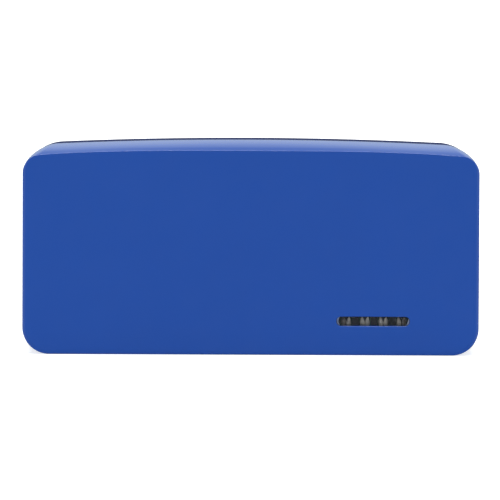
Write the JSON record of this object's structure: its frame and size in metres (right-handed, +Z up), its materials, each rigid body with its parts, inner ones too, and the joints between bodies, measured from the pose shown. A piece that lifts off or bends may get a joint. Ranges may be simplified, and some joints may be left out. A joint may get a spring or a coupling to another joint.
{
  "type": "portable power bank",
  "caption": "Glossy blue portable power bank standing on its long edge, with a lamp gauge window, charging sockets, a push button, cells and boards inside.",
  "frame": {"origin": "bottom centre of the bounding box, on the surface that the long edge stands on", "axes": "+X along the length towards the socket end, -Y out of the gauge face, +Z up, from the resting long edge to the crowned long edge"},
  "size_m": [0.098, 0.022, 0.0456],
  "materials": {
    "case_blue": "glossy moulded",
    "shell_navy": "satin moulded",
    "clear_acrylic": "polished clear",
    "black_plastic": "matte",
    "white_plastic": "satin",
    "circuit_board": "solder mask",
    "socket_steel": "nickel plated",
    "contact_gold": "plated",
    "lamp_body": "clear over tinned pads",
    "cell_wrap": "shrink film",
    "cap_nickel": "nickel",
    "insulating_ring": "fibre paper",
    "wire_red": "insulated wire",
    "wire_black": "insulated wire",
    "foam": "soft foam",
    "chip_epoxy": "moulded epoxy",
    "ferrite": "ferrite",
    "ceramic": "ceramic with tinned ends",
    "screw_steel": "zinc plated"
  },
  "bodies": {
    "case": {"board_link": "black_plastic", "board_screw_1": "screw_steel", "board_screw_2": "screw_steel", "board_screw_3": "screw_steel", "capacitor_1": "ceramic", "capacitor_2": "ceramic", "capacitor_3": "ceramic", "cell_1": "cell_wrap", "cell_2": "cell_wrap", "cell_cap_1": "cap_nickel", "cell_cap_2": "cap_nickel", "cell_ring_1": "insulating_ring", "cell_ring_2": "insulating_ring", "chip_boost": "chip_epoxy", "chip_charge": "chip_epoxy", "diode": "chip_epoxy", "foam_strip_bottom": "foam", "foam_strip_top": "foam", "front_shell": "case_blue", "inductor": "ferrite", "led_1": "lamp_body", "led_2": "lamp_body", "led_3": "lamp_body", "led_4": "lamp_body", "led_baffle": "black_plastic", "led_board": "circuit_board", "led_window": "clear_acrylic", "main_pcb": "circuit_board", "micro_usb_shell": "socket_steel", "micro_usb_tongue": "black_plastic", "rear_shell": "shell_navy", "switch_base": "socket_steel", "tab_negative": "cap_nickel", "tab_positive": "cap_nickel", "usb_a_contact_1": "contact_gold", "usb_a_contact_2": "contact_gold", "usb_a_contact_3": "contact_gold", "usb_a_contact_4": "contact_gold", "usb_a_shell": "socket_steel", "usb_a_tongue": "white_plastic", "wire_negative": "wire_black", "wire_positive": "wire_red"},
    "button": {"power_button": "shell_navy"},
    "plunger": {"switch_plunger": "black_plastic"}
  },
  "joints": [
    {"name": "button_press", "type": "slide", "parent": "case", "child": "button", "axis": [-1, 0, 0], "range_m": [0, 0.0003], "stiffness_N_per_m": 1000, "springref_m": -0.0002},
    {"name": "plunger_press", "type": "slide", "parent": "case", "child": "plunger", "axis": [-1, 0, 0], "range_m": [0, 0.0003]}
  ],
  "couplings": [
    {"joint": "plunger_press", "follows": "button_press", "ratio": 1}
  ]
}
